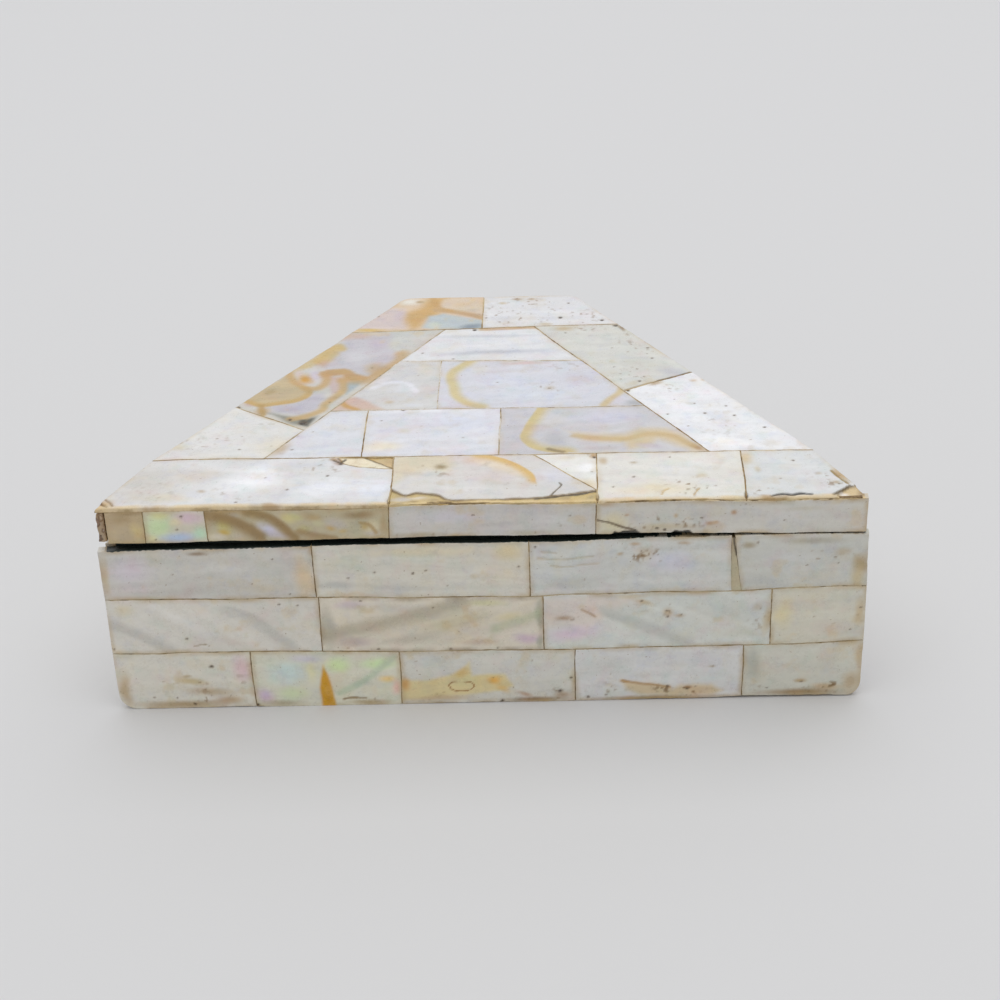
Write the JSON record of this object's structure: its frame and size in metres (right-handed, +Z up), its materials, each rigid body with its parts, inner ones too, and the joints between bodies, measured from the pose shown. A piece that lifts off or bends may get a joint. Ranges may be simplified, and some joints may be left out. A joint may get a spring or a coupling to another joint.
{
  "type": "mother-of-pearl box",
  "caption": "Small box on a cut-off triangle plan, of wood covered in mother-of-pearl plaques, with a flat lid that lifts off.",
  "frame": {"origin": "on the ground under the middle of the box", "axes": "+Z up, +X along the long front towards its right end, +Y from the front to the narrow back"},
  "size_m": [0.1258, 0.0756, 0.0403],
  "materials": {
    "wood": "plain softwood, darkened, blackened where the lid meets the body",
    "shell_top": "polished mother-of-pearl, white and lilac with golden figure, worn edges",
    "shell_front": "satin mother-of-pearl, grey-white with pink and green lustre, stained joints",
    "shell_sides": "satin mother-of-pearl, grey-white, stained joints"
  },
  "bodies": {
    "root": {"front_board": "wood", "back_board": "wood", "left_board": "wood", "right_board": "wood", "bottom_board": "wood", "lid_board": "wood", "low_front_1": "shell_front", "low_front_2": "shell_front", "low_front_3": "shell_front", "low_front_4": "shell_front", "low_front_5": "shell_front", "middle_front_1": "shell_front", "middle_front_2": "shell_front", "middle_front_3": "shell_front", "middle_front_4": "shell_front", "high_front_1": "shell_front", "high_front_2": "shell_front", "high_front_3": "shell_front", "high_front_4": "shell_front", "rim_front_1": "shell_front", "rim_front_2": "shell_front", "rim_front_3": "shell_front", "rim_front_4": "shell_front", "rim_front_5": "shell_front", "low_left": "shell_sides", "low_right": "shell_sides", "low_back": "shell_sides", "middle_left": "shell_sides", "middle_right": "shell_sides", "middle_back": "shell_sides", "high_left": "shell_sides", "high_right": "shell_sides", "high_back": "shell_sides", "rim_left": "shell_sides", "rim_right": "shell_sides", "rim_back": "shell_sides", "top_front_1": "shell_top", "top_front_2": "shell_top", "top_front_shard": "shell_top", "top_front_3": "shell_top", "top_front_4": "shell_top", "top_left_1": "shell_top", "top_left_2": "shell_top", "top_right_1": "shell_top", "top_right_2": "shell_top", "top_back_1": "shell_top", "top_back_2": "shell_top", "top_field_1": "shell_top", "top_field_2": "shell_top", "top_field_3": "shell_top", "top_field_4": "shell_top", "top_field_5": "shell_top", "top_field_6": "shell_top"}
  },
  "joints": []
}
